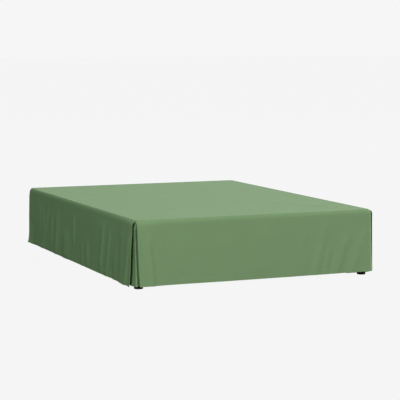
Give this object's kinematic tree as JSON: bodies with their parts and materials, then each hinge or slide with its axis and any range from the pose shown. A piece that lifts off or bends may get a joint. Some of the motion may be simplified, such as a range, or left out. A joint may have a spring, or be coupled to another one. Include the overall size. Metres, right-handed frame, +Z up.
{
  "type": "bed skirt on box base",
  "caption": "Tailored cloth bed skirt with a flat deck and plain drops that part at the corners, lying over a plain box base on short round glides.",
  "frame": {"origin": "on the floor, under the middle of the bed", "axes": "+Z up; -Y towards the foot end of the bed, +Y towards the head; +X to the right, seen from the foot end"},
  "size_m": [1.4685, 1.9885, 0.3726],
  "materials": {
    "green_cloth": "matt plain-woven cotton, sage green",
    "base_ticking": "matt pale ticking",
    "black_plastic": "satin"
  },
  "bodies": {
    "root": {"deck": "green_cloth", "drop_foot": "green_cloth", "drop_right": "green_cloth", "drop_head": "green_cloth", "drop_left": "green_cloth", "corner_foot_left": "green_cloth", "corner_foot_right": "green_cloth", "corner_head_right": "green_cloth", "corner_head_left": "green_cloth", "base_box": "base_ticking", "glide_foot_left": "black_plastic", "glide_foot_right": "black_plastic", "glide_head_left": "black_plastic", "glide_head_right": "black_plastic"}
  },
  "joints": []
}
